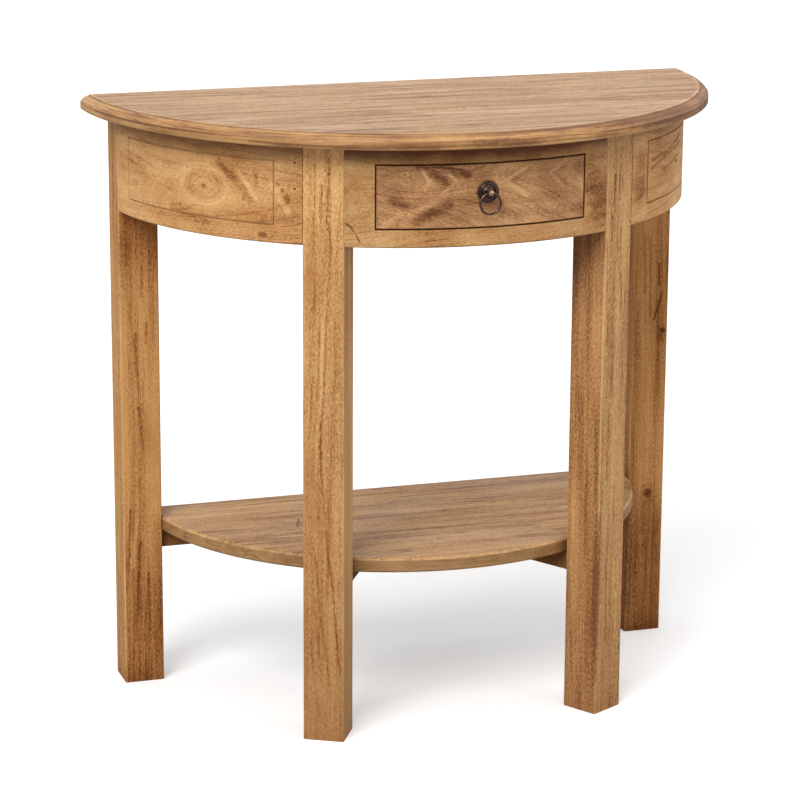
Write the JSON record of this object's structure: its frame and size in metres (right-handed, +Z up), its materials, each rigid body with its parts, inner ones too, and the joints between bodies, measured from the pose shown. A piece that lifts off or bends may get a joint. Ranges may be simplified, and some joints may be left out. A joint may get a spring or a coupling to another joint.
{
  "type": "demilune console table",
  "caption": "Half-round wooden console table with a moulded top edge, curved apron, bow-fronted drawer with a ring pull, square legs and a low half-round shelf.",
  "frame": {"origin": "centre of the footprint on the floor", "axes": "+X to the right along the straight back edge, +Y towards the wall, +Z up; the drawer opens towards -Y"},
  "size_m": [0.8, 0.3999, 0.75],
  "materials": {
    "top_wood": "oiled, greyish tan with the grain running across the width",
    "apron_wood": "oiled, honey brown with swirling figure",
    "leg_wood": "oiled, honey brown, redder towards the feet",
    "drawer_wood": "oiled, honey brown with broad figure",
    "shelf_wood": "oiled, mid brown with straight grain",
    "inner_wood": "planed, unfinished",
    "antique_bronze": "dark antique, rubbed on the high spots",
    "screw_steel": "plain zinc"
  },
  "bodies": {
    "frame": {"table_top": "top_wood", "front_apron": "apron_wood", "back_apron": "apron_wood", "shelf": "shelf_wood", "back_stretcher": "leg_wood", "top_screws": "screw_steel", "shelf_screws": "screw_steel", "front_leg_left": "leg_wood", "back_leg_left": "leg_wood", "side_apron_left": "apron_wood", "top_block_left": "inner_wood", "drawer_runner_left": "inner_wood", "drawer_kicker_left": "inner_wood", "shelf_arm_left": "leg_wood", "front_leg_right": "leg_wood", "back_leg_right": "leg_wood", "side_apron_right": "apron_wood", "top_block_right": "inner_wood", "drawer_runner_right": "inner_wood", "drawer_kicker_right": "inner_wood", "shelf_arm_right": "leg_wood"},
    "drawer": {"drawer_front": "drawer_wood", "drawer_side_left": "inner_wood", "drawer_side_right": "inner_wood", "drawer_back": "inner_wood", "drawer_bottom": "inner_wood", "pull_rosette": "antique_bronze", "pull_post": "antique_bronze", "pull_washer": "screw_steel", "pull_nut": "screw_steel"},
    "ring": {"pull_ring": "antique_bronze"}
  },
  "joints": [
    {"name": "drawer_slide", "type": "slide", "parent": "frame", "child": "drawer", "axis": [0, -1, 0], "range_m": [0, 0.2]},
    {"name": "ring_swing", "type": "hinge", "parent": "drawer", "child": "ring", "pos_m": [0, -0.18, 0.6765], "axis": [-1, 0, 0], "range_deg": [0, 170]}
  ]
}
